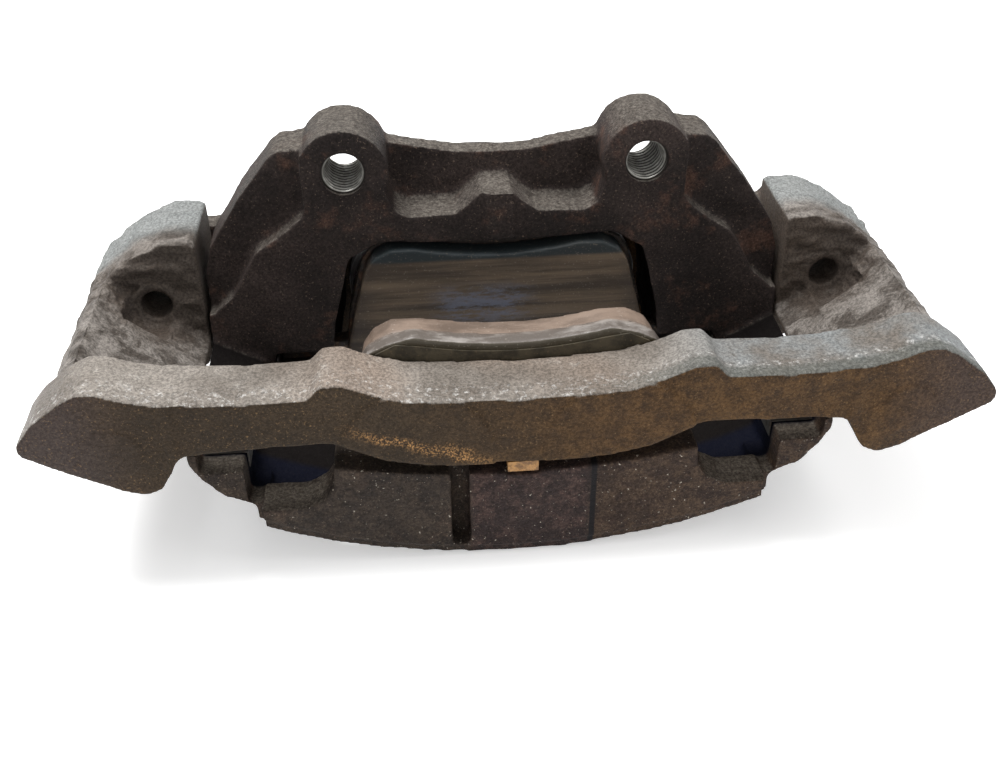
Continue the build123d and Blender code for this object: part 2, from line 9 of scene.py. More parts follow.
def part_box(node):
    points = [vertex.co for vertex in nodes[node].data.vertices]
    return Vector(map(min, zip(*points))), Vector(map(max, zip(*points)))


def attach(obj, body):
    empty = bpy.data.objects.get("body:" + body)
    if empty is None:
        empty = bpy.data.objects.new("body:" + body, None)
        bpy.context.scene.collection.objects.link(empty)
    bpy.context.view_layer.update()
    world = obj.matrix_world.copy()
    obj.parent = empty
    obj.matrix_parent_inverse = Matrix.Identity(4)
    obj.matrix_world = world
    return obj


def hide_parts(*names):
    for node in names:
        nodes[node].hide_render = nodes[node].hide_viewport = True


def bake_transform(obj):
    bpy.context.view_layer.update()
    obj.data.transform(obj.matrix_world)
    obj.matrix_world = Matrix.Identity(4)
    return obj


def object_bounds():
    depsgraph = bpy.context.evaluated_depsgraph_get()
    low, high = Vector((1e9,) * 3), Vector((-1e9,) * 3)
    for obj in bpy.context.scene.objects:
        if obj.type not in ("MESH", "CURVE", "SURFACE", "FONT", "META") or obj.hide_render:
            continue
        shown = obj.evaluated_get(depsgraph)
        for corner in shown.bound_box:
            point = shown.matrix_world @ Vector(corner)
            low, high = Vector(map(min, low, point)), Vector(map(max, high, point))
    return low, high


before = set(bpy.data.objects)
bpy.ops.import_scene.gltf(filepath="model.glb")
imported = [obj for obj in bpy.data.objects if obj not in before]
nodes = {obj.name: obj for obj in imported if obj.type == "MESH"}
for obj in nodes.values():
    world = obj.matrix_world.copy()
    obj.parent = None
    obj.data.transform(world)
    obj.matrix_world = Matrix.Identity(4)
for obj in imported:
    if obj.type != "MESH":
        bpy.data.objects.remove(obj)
cad_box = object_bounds()

MM = 0.001
pin_lo, pin_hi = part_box("guide_pin_right")
PIN_X = (pin_lo.x + pin_hi.x) / 2
PIN_Z = (pin_lo.z + pin_hi.z) / 2
PIN_BORE_R = 5.5 * MM
PIN_BORE_LOW_Y = -22.5 * MM     # the outboard end of a pin bore
EAR_X = 50 * MM
EAR_FRONT_Y = -24 * MM
EAR_THREAD_R = 6.2 * MM         # the CAD's plain hole, which is the crest of the thread
THREAD_PITCH = 2.0 * MM
THREAD_DEPTH = 1.1 * MM         # from its crest to its root
SIDES = (("left", -1), ("right", 1))

# Where marks lie on the castings and pads, in metres. A pair is the two ends of a band, or of the
# stretch over which a mark fades in or out.
BAR_RUSTY_X = (-0.045, 0.045)
BAR_MIDDLE_X = (-0.060, 0.030)
BAR_TIP_X = (0.105, 0.135)
BAR_BLUE_X = (0.035, 0.075)
BAR_CREST_HIGHLIGHT_Y = (-0.0935, -0.0985)
BAR_LIP_SHADE_X = (0.010, 0.060)
BAR_LIP_SHADE_Y = (-0.1005, -0.0975)
ARM_X = (0.098, 0.101)
ARM_Y = (-0.081, -0.077)
ARM_REAR_Y = (-0.016, -0.004)
ARM_HOLLOW = (0.118, -0.020, -0.046)    # the middle of the rough hollow round a pin bore
ARM_HOLLOW_R = (0.010, 0.027)
STREAK_X = (-0.047, -0.010)
STREAK_HALF = (0.0002, 0.0034)
STREAK_WANDER = 0.014
STREAK_Z = 0.0600                       # how far below z 0 the rust streak is at x 0
STREAK_SLOPE = 0.33                     # how much it falls for each metre towards +X
TIE_Y = (-0.086, -0.083)
TIE_BLOCK_X = (-0.015, 0.023)
TIE_CRACK_SHADE_X = (0.0231, 0.0249)
TIE_RUDDY_X = (0.023, 0.026)
TIE_FLAT_X = (0.055, 0.058)
CARRIER_SHADE_Y = (-0.0835, -0.0245)
CARRIER_SHADE_Z = (-0.060, -0.056)
CARRIER_SHADE_NAVY_Y = (-0.068, -0.064)
WINDOW_WALL_SHADE_X = (0.0585, 0.0600)
WINDOW_WALL_SHADE_Y = (-0.0222, -0.0002)
WINDOW_WALL_SHADE_Z = (-0.029, -0.027)
SHIM_TAB_Y = (-0.0860, -0.0850)
PAD_TOP_EDGE_SHADE_Z = (-0.0340, -0.0325)
PAD_SIDE_SHADE_X = (0.040, 0.053)
PAD_SHEEN_X = (-0.020, 0.010)
PAD_SHEEN_Z = (-0.058, -0.045)
PAD_SILVER_Y = (-0.0735, -0.0785)
PAD_LOW_SHADE_Z = (-0.036, -0.044)

# Where most of a noise's values lie. A ramp over one of these shows both of its ends.
NOISE_WIDE = (0.36, 0.64)
NOISE_MIDDLE = (0.38, 0.62)


# ---------------------------------------------------------------- materials

class Nodes:
    """A short way to write a node tree."""

    def __init__(self, name):
        self.material = bpy.data.materials.new(name)
        self.material.use_nodes = True
        self.tree = self.material.node_tree
        self.tree.nodes.clear()
        self.shader = self.add("ShaderNodeBsdfPrincipled")
        output = self.add("ShaderNodeOutputMaterial")
        self.link(self.shader.outputs[0], output.inputs["Surface"])
        self.coords = self.add("ShaderNodeTexCoord")

    def add(self, kind, **settings):
        node = self.tree.nodes.new(kind)
        for key, value in settings.items():
            setattr(node, key, value)
        return node

    def link(self, source, target):
        self.tree.links.new(source, target)

    def noise(self, scale, detail=6.0, rough=0.6, stretch=(1, 1, 1), distortion=0.0):
        mapping = self.add("ShaderNodeMapping")
        mapping.inputs["Scale"].default_value = stretch
        self.link(self.coords.outputs["Object"], mapping.inputs["Vector"])
        node = self.add("ShaderNodeTexNoise")
        node.inputs["Scale"].default_value = scale
        node.inputs["Detail"].default_value = detail
        node.inputs["Roughness"].default_value = rough
        node.inputs["Distortion"].default_value = distortion
        self.link(mapping.outputs["Vector"], node.inputs["Vector"])
        return node.outputs["Fac"]

    def ramp(self, source, low, high, start=0.0, end=1.0):
        node = self.add("ShaderNodeMapRange", interpolation_type="SMOOTHSTEP")
        node.inputs["From Min"].default_value = low
        node.inputs["From Max"].default_value = high
        node.inputs["To Min"].default_value = start
        node.inputs["To Max"].default_value = end
        self.link(source, node.inputs["Value"])
        return node.outputs["Result"]

    def math(self, operation, a, b=None):
        node = self.add("ShaderNodeMath", operation=operation)
        for socket, value in zip(node.inputs, (a, b)):
            if value is None:
                continue
            if isinstance(value, (int, float)):
                socket.default_value = value
            else:
                self.link(value, socket)
        return node.outputs[0]

    def mix(self, factor, a, b):
        node = self.add("ShaderNodeMix", data_type="RGBA")
        for name, value in (("Factor", factor), ("A", a), ("B", b)):
            socket = node.inputs[name]
            if isinstance(value, (int, float)):
                socket.default_value = value
            elif isinstance(value, tuple):
                socket.default_value = (*value, 1.0)
            else:
                self.link(value, socket)
        return node.outputs["Result"]

    def times(self, a, b):
        return self.math("MULTIPLY", a, b)

    def plus(self, a, b):
        return self.math("ADD", a, b)

    def tint(self, base, mask, share, color):
        """Lays a colour over base where mask is 1, at most by share."""
        return self.mix(self.times(mask, share), base, color)

    def axis(self, output, which):
        node = self.add("ShaderNodeSeparateXYZ")
        self.link(self.coords.outputs[output], node.inputs[0])
        return node.outputs[which]

    def bump(self, height, strength, distance, below=None):
        node = self.add("ShaderNodeBump")
        node.inputs["Strength"].default_value = strength
        node.inputs["Distance"].default_value = distance
        self.link(height, node.inputs["Height"])
        if below is not None:
            self.link(below, node.inputs["Normal"])
        return node.outputs["Normal"]

    def finish(self, color, rough, normal=None, metallic=0.0, **sockets):
        for socket, value in (("Base Color", color), ("Roughness", rough), ("Normal", normal)):
            if value is None:
                continue
            if isinstance(value, tuple):
                self.shader.inputs[socket].default_value = (*value, 1.0)
            elif isinstance(value, (int, float)):
                self.shader.inputs[socket].default_value = value
            else:
                self.link(value, self.shader.inputs[socket])
        self.shader.inputs["Metallic"].default_value = metallic
        for socket, value in sockets.items():
            self.shader.inputs[socket.replace("_", " ")].default_value = value
        return self.material


def iron_surface(n):
    """Bump of a sand casting: lumps, pits and grain. The grain is returned too, for the colour."""
    lumps = n.noise(140, 5, 0.6)
    grain = n.noise(1150, 4, 0.75)
    pits = n.add("ShaderNodeTexVoronoi", feature="SMOOTH_F1")
    pits.inputs["Scale"].default_value = 520
    n.link(n.coords.outputs["Object"], pits.inputs["Vector"])
    normal = n.bump(lumps, 0.6, 0.9 * MM)
    normal = n.bump(pits.outputs["Distance"], 0.4, 0.5 * MM, normal)
    normal = n.bump(grain, 0.9, 0.55 * MM, normal)
    return grain, normal


def speckled(n, color, grain, low, high):
    """Darkens and lightens a colour grain by grain."""
    scale = n.ramp(grain, *NOISE_WIDE, low, high)
    node = n.add("ShaderNodeVectorMath", operation="SCALE")
    n.link(color, node.inputs[0])
    n.link(scale, node.inputs["Scale"])
    return node.outputs[0]


def band(n, value, low, high, soft):
    """1 where value lies between low and high, fading over soft."""
    above = n.ramp(value, low - soft, low + soft)
    below = n.ramp(value, high - soft, high + soft, 1.0, 0.0)
    return n.times(above, below)


def facing_up(n, grain, ragged):
    """How far a face looks up, with an edge that the grain breaks up."""
    return n.plus(n.axis("Normal", 2), n.times(n.math("SUBTRACT", grain, 0.5), ragged))


def distance_to(n, place):
    """Distance to a point given for +X, measured with x mirrored."""
    node = n.add("ShaderNodeCombineXYZ")
    n.link(n.math("ABSOLUTE", n.axis("Object", 0)), node.inputs[0])
    n.link(n.axis("Object", 1), node.inputs[1])
    n.link(n.axis("Object", 2), node.inputs[2])
    length = n.add("ShaderNodeVectorMath", operation="DISTANCE")
    n.link(node.outputs[0], length.inputs[0])
    length.inputs[1].default_value = place
    return length.outputs["Value"]


def housing_iron():
    """Pale dusty grey on top, partly dust and partly painted top light, dark brown in front, with
    an orange rust streak across the bar.
    """
    n = Nodes("housing_iron")
    grain, normal = iron_surface(n)
    x, y, z = (n.axis("Object", i) for i in range(3))
    patches = n.noise(24, 5, 0.6)
    broad = n.noise(9, 3, 0.5)
    mottle = n.noise(190, 6, 0.75)
    # bare iron: dark olive brown, rustier towards +X
    base = n.mix(n.ramp(patches, 0.36, 0.66), (0.021, 0.014, 0.008), (0.040, 0.027, 0.016))
    rusty = n.mix(n.ramp(mottle, *NOISE_MIDDLE), (0.042, 0.022, 0.009), (0.082, 0.043, 0.016))
    base = n.tint(base, n.ramp(x, *BAR_RUSTY_X), 0.85, rusty)
    tip = n.ramp(n.math("ABSOLUTE", x), *BAR_TIP_X)
    base = n.tint(base, tip, 0.75, (0.052, 0.038, 0.034))
    stains = n.ramp(n.noise(75, 5, 0.65), 0.60, 0.70)
    base = n.tint(base, stains, 0.45, (0.020, 0.014, 0.010))
    specks = n.ramp(n.noise(1500, 3, 0.65), 0.60, 0.68)
    base = n.tint(base, specks, 0.38, (0.24, 0.145, 0.065))
    # orange streak that wanders down towards the middle of the bar
    front = n.ramp(n.axis("Normal", 1), -0.8, -0.5, 1.0, 0.0)
    wander = n.times(n.math("SUBTRACT", n.noise(70, 5, 0.7), 0.5), STREAK_WANDER)
    line = n.plus(z, n.plus(n.times(x, STREAK_SLOPE), wander))
    streak = n.ramp(n.math("ABSOLUTE", n.plus(line, STREAK_Z)), *STREAK_HALF, 1.0, 0.0)
    streak = n.times(streak, n.ramp(n.noise(1900, 3, 0.6), 0.47, 0.60))
    streak = n.times(streak, n.times(band(n, x, *STREAK_X, 0.008), front))
    base = n.tint(base, streak, 0.7, (0.42, 0.225, 0.085))
    # dust and oxide on what faces up, made paler still by painted top light
    up = n.ramp(facing_up(n, grain, 0.35), 0.22, 0.62)
    dust = n.mix(n.ramp(patches, 0.40, 0.62), (0.125, 0.108, 0.092), (0.215, 0.193, 0.170))
    middle = n.times(band(n, x, *BAR_MIDDLE_X, 0.018), n.ramp(broad, 0.40, 0.56))
    dust = n.tint(dust, middle, 0.8, (0.200, 0.155, 0.123))
    blue = n.times(n.ramp(x, *BAR_BLUE_X), n.ramp(patches, 0.36, 0.56))
    dust = n.tint(dust, blue, 0.85, (0.170, 0.185, 0.190))
    worn = n.times(n.ramp(mottle, 0.56, 0.68), n.ramp(broad, 0.44, 0.56))
    dust = n.tint(dust, worn, 0.45, (0.40, 0.38, 0.35))
    # painted highlight: near-white flecks along the crest of the bar's front edge
    crest = n.times(n.ramp(y, *BAR_CREST_HIGHLIGHT_Y), n.ramp(n.noise(520, 5, 0.8), 0.53, 0.64))
    dust = n.tint(dust, crest, 0.6, (0.52, 0.51, 0.49))
    dust = n.tint(dust, n.ramp(mottle, 0.40, 0.30), 0.6, (0.10, 0.082, 0.068))
    # painted shade along the rim of the bar's front edge, darker and coarser towards +X
    lip_shade = n.times(n.ramp(y, *BAR_LIP_SHADE_Y, 1.0, 0.0), n.ramp(x, *BAR_LIP_SHADE_X))
    dust = n.tint(dust, lip_shade, 0.75, (0.080, 0.082, 0.072))
    # side arms: bluish grey plaster at the back, tan and brown in the rough hollows
    arm = n.times(n.ramp(y, *ARM_Y), n.ramp(n.math("ABSOLUTE", x), *ARM_X))
    streaks = n.noise(60, 6, 0.72, stretch=(1.0, 1.8, 1.8), distortion=0.7)
    plaster = n.mix(n.ramp(streaks, 0.38, 0.60), (0.062, 0.052, 0.044), (0.200, 0.180, 0.162))
    rear = n.times(n.ramp(y, *ARM_REAR_Y), n.ramp(broad, 0.30, 0.45))
    plaster = n.tint(plaster, rear, 0.8, (0.215, 0.228, 0.225))
    hollow = n.ramp(distance_to(n, ARM_HOLLOW), *ARM_HOLLOW_R, 1.0, 0.0)
    plaster = n.tint(plaster, hollow, 0.75, (0.058, 0.043, 0.033))
    dust = n.mix(arm, dust, plaster)
    base = n.tint(base, arm, 0.8, (0.080, 0.066, 0.056))
    color = speckled(n, n.mix(up, base, dust), grain, 0.62, 1.34)
    rough = n.plus(n.ramp(patches, 0.3, 0.7, 0.56, 0.76), n.ramp(up, 0.0, 1.0, 0.0, -0.12))
    return n.finish(color, rough, normal, Specular_IOR_Level=0.13)


def carrier_iron():
    """Dark purple-brown iron with pale worn rims and painted top light where it faces up, and
    painted navy black shade on what only the disc sees.
    """
    n = Nodes("carrier_iron")
    grain, normal = iron_surface(n)
    x, y, z = (n.axis("Object", i) for i in range(3))
    patches = n.noise(26, 5, 0.6)
    mottle = n.noise(210, 6, 0.75)
    grit = n.noise(620, 6, 0.8)
    base = n.mix(n.ramp(patches, 0.36, 0.66), (0.016, 0.012, 0.011), (0.038, 0.028, 0.025))
    rust = n.times(n.ramp(n.noise(70, 6, 0.65), 0.54, 0.70), 0.55)
    base = n.mix(rust, base, (0.100, 0.052, 0.036))
    # the outboard tie is browner, and its right part rusty
    tie = n.ramp(y, *TIE_Y, 1.0, 0.0)
    brown = n.mix(n.ramp(mottle, *NOISE_MIDDLE), (0.021, 0.016, 0.013), (0.046, 0.034, 0.025))
    base = n.tint(base, tie, 0.8, brown)
    block = n.times(band(n, x, *TIE_BLOCK_X, 0.002), tie)
    plum = n.mix(n.ramp(mottle, 0.44, 0.64), (0.023, 0.015, 0.015), (0.062, 0.037, 0.033))
    base = n.tint(base, block, 0.75, plum)
    right = n.times(n.ramp(x, *TIE_RUDDY_X), tie)
    ruddy = n.mix(n.ramp(mottle, 0.40, 0.62), (0.030, 0.018, 0.014), (0.068, 0.042, 0.027))
    base = n.tint(base, right, 0.6, ruddy)
    specks = n.ramp(n.noise(1300, 3, 0.65), 0.61, 0.69)
    base = n.tint(base, specks, 0.38, (0.22, 0.16, 0.12))
    pale = n.times(n.ramp(n.noise(900, 2, 0.5), 0.68, 0.74), tie)
    base = n.tint(base, pale, 0.7, (0.50, 0.45, 0.38))
    # worn pale rims, only on what faces up, made paler by painted top light
    up = n.ramp(facing_up(n, grain, 0.7), 0.45, 1.0)
    rim = n.mix(n.ramp(grit, *NOISE_WIDE), (0.048, 0.040, 0.034), (0.130, 0.116, 0.100))
    tan = n.mix(n.ramp(grit, 0.36, 0.62), (0.048, 0.038, 0.029), (0.120, 0.100, 0.078))
    rim = n.tint(rim, tie, 0.7, tan)
    flat_top = n.times(n.ramp(n.math("ABSOLUTE", x), *TIE_FLAT_X, 1.0, 0.0), tie)
    up = n.times(up, n.math("SUBTRACT", 1.0, n.times(flat_top, 0.9)))
    color = speckled(n, n.mix(n.times(up, 0.9), base, rim), grain, 0.60, 1.36)
    # painted shade: the inner faces, which only the disc sees, and the walls of the pad window are
    # painted navy black, with little specular
    shaded_inside = band(n, y, *CARRIER_SHADE_Y, 0.0008)
    shaded_inside = n.times(shaded_inside, n.ramp(z, *CARRIER_SHADE_Z, 1.0, 0.0))
    wall = n.times(band(n, y, *WINDOW_WALL_SHADE_Y, 0.0003), n.ramp(z, *WINDOW_WALL_SHADE_Z, 1.0, 0.0))
    wall = n.times(wall, n.ramp(n.math("ABSOLUTE", x), *WINDOW_WALL_SHADE_X, 1.0, 0.0))
    shaded_inside = n.math("MAXIMUM", shaded_inside, wall)
    navy = n.mix(n.ramp(y, *CARRIER_SHADE_NAVY_Y), (0.004, 0.005, 0.011), (0.006, 0.005, 0.005))
    color = n.tint(color, shaded_inside, 0.97, navy)
    # painted shade: a near-black line in the narrow gap beside the tie's block
    crack_shade = n.times(band(n, x, *TIE_CRACK_SHADE_X, 0.0002), tie)
    color = n.mix(crack_shade, color, (0.010, 0.009, 0.010))
    n.link(n.ramp(shaded_inside, 0.0, 1.0, 0.12, 0.02), n.shader.inputs["Specular IOR Level"])
    rough = n.ramp(patches, 0.3, 0.7, 0.54, 0.76)
    return n.finish(color, rough, normal)


def friction_worn():
    """Inner friction face: brown, streaked as the disc sweeps it, with a polished area whose
    bluish colour is a painted sheen, and painted shade along its top edge and ends.
    """
    n = Nodes("friction_worn")
    x, z = n.axis("Object", 0), n.axis("Object", 2)
    streaks = n.noise(80, 5, 0.65, stretch=(0.14, 1, 2.6))
    fine = n.noise(1300, 3, 0.7)
    base = n.mix(n.ramp(streaks, *NOISE_WIDE), (0.040, 0.028, 0.019), (0.120, 0.086, 0.056))
    # polished area: smoother, and tinted bluish as a painted sheen
    polish_and_sheen = n.times(band(n, x, *PAD_SHEEN_X, 0.007), band(n, z, *PAD_SHEEN_Z, 0.004))
    blotches = n.noise(260, 5, 0.75, stretch=(0.4, 1, 1.4))
    polish_and_sheen = n.times(polish_and_sheen, n.ramp(blotches, 0.38, 0.60))
    base = n.tint(base, polish_and_sheen, 0.8, (0.120, 0.135, 0.185))
    # painted shade: dark teal along the top edge of the friction face
    edge = n.ramp(z, *PAD_TOP_EDGE_SHADE_Z)
    base = n.tint(base, edge, 0.9, (0.009, 0.017, 0.021))
    # painted shade: darker towards both ends of the friction face
    side = n.ramp(n.math("ABSOLUTE", x), *PAD_SIDE_SHADE_X)
    base = n.tint(base, side, 0.6, (0.020, 0.016, 0.016))
    base = n.tint(base, n.ramp(fine, 0.60, 0.70), 0.4, (0.24, 0.20, 0.16))
    normal = n.bump(n.noise(800, 4, 0.7), 0.5, 0.25 * MM)
    normal = n.bump(streaks, 0.35, 0.6 * MM, normal)
    rough = n.ramp(polish_and_sheen, 0.0, 1.0, 0.58, 0.36)
    return n.finish(base, rough, normal, Specular_IOR_Level=0.35)


def outer_pad_surface():
    """Outer pad: tan on top, silver grey and shinier outboard, with painted shade lower down and
    on its outboard faces.
    """
    n = Nodes("outer_pad_surface")
    y, z = n.axis("Object", 1), n.axis("Object", 2)
    mottle = n.noise(120, 5, 0.65, stretch=(0.35, 1, 1))
    fine = n.noise(1200, 4, 0.7)
    tan = n.mix(n.ramp(mottle, *NOISE_WIDE), (0.088, 0.060, 0.043), (0.180, 0.130, 0.098))
    front = n.ramp(y, *PAD_SILVER_Y)
    silver = n.mix(n.ramp(mottle, 0.42, 0.58), (0.085, 0.072, 0.062), (0.240, 0.222, 0.206))
    color = n.tint(tan, front, 0.9, silver)
    # painted shade: dark lower down, where the pad stands behind the bar
    low = n.ramp(z, *PAD_LOW_SHADE_Z)
    dark = n.mix(n.ramp(mottle, *NOISE_MIDDLE), (0.016, 0.014, 0.012), (0.040, 0.032, 0.026))
    color = n.mix(low, color, dark)
    # painted shade: dark olive on faces turned outboard
    back = n.ramp(n.axis("Normal", 1), -0.5, -0.8)
    color = n.mix(back, color, (0.045, 0.036, 0.022))
    color = n.tint(color, n.ramp(fine, 0.60, 0.72), 0.35, (0.50, 0.44, 0.38))
    normal = n.bump(fine, 0.5, 0.25 * MM)
    normal = n.bump(mottle, 0.4, 0.6 * MM, normal)
    rough = n.plus(n.ramp(front, 0.0, 1.0, 0.62, 0.38), n.ramp(mottle, 0.4, 0.6, 0.06, -0.06))
    return n.finish(color, rough, normal, Specular_IOR_Level=0.4)


def shim_surface():
    """Thin shim: dark olive, rusted golden on its folded tab."""
    n = Nodes("shim_surface")
    patches = n.noise(160, 6, 0.7)
    dark = n.mix(n.ramp(patches, *NOISE_MIDDLE), (0.030, 0.025, 0.016), (0.070, 0.056, 0.034))
    rust = n.ramp(n.noise(520, 5, 0.75), *NOISE_MIDDLE)
    gold = n.mix(rust, (0.120, 0.055, 0.014), (0.340, 0.175, 0.052))
    color = n.mix(n.ramp(n.axis("Object", 1), *SHIM_TAB_Y, 1.0, 0.0), dark, gold)
    grain = n.noise(1100, 4, 0.7)
    color = n.tint(color, n.ramp(grain, 0.58, 0.70), 0.4, (0.18, 0.12, 0.07))
    rough = n.ramp(patches, 0.3, 0.7, 0.42, 0.66)
    return n.finish(color, rough, n.bump(grain, 0.5, 0.2 * MM), metallic=0.2)


def thread_surface():
    """Cut thread: bright on the crests, with painted shade in the roots."""
    n = Nodes("thread_surface")
    offset = n.math("SUBTRACT", n.math("ABSOLUTE", n.axis("Object", 0)), EAR_X)
    square = n.plus(n.times(offset, offset), n.math("POWER", n.axis("Object", 2), 2.0))
    radius = n.math("SQRT", square)
    root_shade = n.ramp(radius, EAR_THREAD_R + 0.15 * MM, EAR_THREAD_R + 0.75 * MM)
    crest = n.mix(n.ramp(n.noise(300, 5, 0.7), 0.40, 0.62), (0.34, 0.33, 0.30), (0.56, 0.55, 0.51))
    color = n.mix(root_shade, crest, (0.022, 0.018, 0.015))
    rough = n.ramp(root_shade, 0.0, 1.0, 0.34, 0.75)
    return n.finish(color, rough, n.bump(n.noise(1500, 3, 0.6), 0.3, 0.1 * MM), metallic=0.55)


def rusty_steel(name, dark, light, rust):
    """Steel plate, paint mostly gone, rust coming through."""
    n = Nodes(name)
    patches = n.noise(60, 6, 0.65)
    grain = n.noise(1100, 4, 0.7)
    base = n.mix(n.ramp(patches, *NOISE_MIDDLE), dark, light)
    base = n.mix(n.ramp(n.noise(120, 6, 0.7), 0.52, 0.66), base, rust)
    base = n.tint(base, n.ramp(grain, 0.56, 0.70), 0.4, (0.36, 0.25, 0.16))
    normal = n.bump(n.noise(260, 5, 0.6), 0.4, 0.4 * MM)
    normal = n.bump(grain, 0.45, 0.2 * MM, normal)
    return n.finish(base, n.ramp(patches, 0.3, 0.7, 0.45, 0.75), normal, metallic=0.25)


def plated_steel(name, tint, rust, rough):
    """Machined or plated steel, dulled, with a little rust in patches."""
    n = Nodes(name)
    patches = n.noise(150, 6, 0.7)
    scratch = n.noise(900, 3, 0.6, stretch=(1, 0.15, 1))
    base = n.mix(n.ramp(patches, 0.54, 0.70), tint, rust)
    dull = n.plus(n.ramp(scratch, 0.3, 0.7, -0.06, 0.08), n.ramp(patches, 0.45, 0.68, rough, 0.7))
    normal = n.bump(scratch, 0.15, 0.1 * MM)
    return n.finish(base, dull, normal, metallic=0.9)


def rubber():
    n = Nodes("boot_rubber")
    dust = n.ramp(n.noise(120, 5, 0.6), 0.45, 0.68)
    color = n.mix(n.times(dust, 0.5), (0.014, 0.013, 0.013), (0.055, 0.048, 0.042))
    normal = n.bump(n.noise(1400, 3, 0.6), 0.25, 0.1 * MM)
    return n.finish(color, n.ramp(dust, 0.0, 1.0, 0.48, 0.72), normal)


def floor_material():
    n = Nodes("floor_paper")
    color = n.mix(n.noise(3, 2, 0.4), (0.86, 0.86, 0.86), (0.89, 0.89, 0.89))
    return n.finish(color, 0.9, Emission_Strength=0.38)


# ---------------------------------------------------------------- meshes

def solid_copy(name, node, voxel, smooth_rounds, holes=()):
    """A fine, evenly meshed copy of a CAD node with softened edges.

    holes are (x, z, old radius, new radius, low y) of round holes along Y. The wall of each is
    moved to its new radius from low y towards +Y."""
    mesh = nodes[node].data.copy()
    piece = bpy.data.objects.new(name, mesh)
    bpy.context.scene.collection.objects.link(piece)
    remesh = piece.modifiers.new("remesh", "REMESH")
    remesh.mode = "VOXEL"
    remesh.voxel_size = voxel
    smooth = piece.modifiers.new("smooth", "SMOOTH")
    smooth.factor = 0.5
    smooth.iterations = smooth_rounds
    depsgraph = bpy.context.evaluated_depsgraph_get()
    final = bpy.data.meshes.new_from_object(piece.evaluated_get(depsgraph))
    piece.modifiers.clear()
    piece.data = final
    points = read_points(final)
    for x, z, old_radius, radius, low_y in holes:
        offset = points[:, [0, 2]] - np.array([x, z])
        distance = np.linalg.norm(offset, axis=1)
        wall = np.abs(distance - old_radius) < 1.2 * voxel
        wall &= distance < max(radius, old_radius + voxel)
        wall &= points[:, 1] > low_y
        scale = radius / distance[wall]
        points[wall, 0] = x + offset[wall, 0] * scale
        points[wall, 2] = z + offset[wall, 1] * scale
    write_points(final, points)
    final.polygons.foreach_set("use_smooth", np.ones(len(final.polygons), dtype=bool))
    return piece


def read_points(mesh):
    points = np.empty(len(mesh.vertices) * 3)
    mesh.vertices.foreach_get("co", points)
    return points.reshape(-1, 3)


def write_points(mesh, points):
    mesh.vertices.foreach_set("co", points.reshape(-1))
    mesh.update()


def read_normals(mesh):
    normals = np.empty(len(mesh.vertices) * 3)
    mesh.vertices.foreach_get("normal", normals)
    return normals.reshape(-1, 3)


FRACTAL_H, LACUNARITY, OCTAVES = 0.9, 2.1, 4     # how lumps fade and shrink, octave by octave
TEAR_SCALE = np.array([75.0, 230.0, 230.0])     # torn sand runs in strings along X
TEAR_LEAST, TEAR_GAIN = 0.15, 1.1               # depth of a tear, as shares of the extra depth
NO_DEPTH = 1e-5


def roughen(piece, amount, scale, keep_out=None, rougher=None):
    """Cast roughness: sink the surface by up to amount, in lumps of about 1 / scale metres.

    keep_out(points) gives 0 where a face stays true, and 1 where it is as rough as elsewhere.
    rougher(points) gives extra depth in metres."""
    mesh = piece.data
    points = read_points(mesh)
    normals = read_normals(mesh)
    coarse = np.array([noise.fractal(Vector(p) * scale, FRACTAL_H, LACUNARITY, OCTAVES)
                       for p in points])
    depth = amount * np.clip(0.5 + 0.5 * coarse, 0.0, 1.0)
    if rougher is not None:
        extra = rougher(points)
        tears = np.array([noise.turbulence(Vector(p), OCTAVES, False) if e > NO_DEPTH else 0.0
                          for p, e in zip(points * TEAR_SCALE, extra)])
        depth = depth + extra * (TEAR_LEAST + TEAR_GAIN * tears)
    if keep_out is not None:
        depth = depth * keep_out(points)
    write_points(mesh, points - normals * depth[:, None])


def lathe_y(name, x, z, profile, steps):
    """A closed body of revolution about an axis along Y. profile is a ring of (radius, y)."""
    vertices = []
    for i in range(steps):
        angle = 2 * math.pi * i / steps
        for radius, y in profile:
            vertices.append((x + radius * math.cos(angle), y, z + radius * math.sin(angle)))
    count = len(profile)
    faces = []
    for i in range(steps):
        j = (i + 1) % steps
        for k in range(count):
            m = (k + 1) % count
            faces.append((i * count + k, i * count + m, j * count + m, j * count + k))
    return new_piece(name, vertices, faces)


def new_piece(name, vertices, faces, smooth=True):
    mesh = bpy.data.meshes.new(name)
    mesh.from_pydata(vertices, [], faces)
    mesh.validate()
    mesh.polygons.foreach_set("use_smooth", [smooth] * len(mesh.polygons))
    piece = bpy.data.objects.new(name, mesh)
    bpy.context.scene.collection.objects.link(piece)
    bpy.context.view_layer.update()
    fix_winding(piece)
    return piece


def fix_winding(piece):
    """Turns every face outwards."""
    work = bmesh.new()
    work.from_mesh(piece.data)
    bmesh.ops.recalc_face_normals(work, faces=work.faces)
    work.to_mesh(piece.data)
    work.free()


def dress(piece, material, body, node=None):
    """Gives a piece its material, the body it rides and the CAD node it replaces."""
    piece.data.materials.clear()
    piece.data.materials.append(material)
    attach(piece, body)
    if node:
        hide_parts(node)


def recolor(node, material):
    """Gives a CAD node, which keeps its own mesh, a better material."""
    for place in nodes[node].material_slots:
        place.link = "OBJECT"
        place.material = material


# ---------------------------------------------------------------- castings

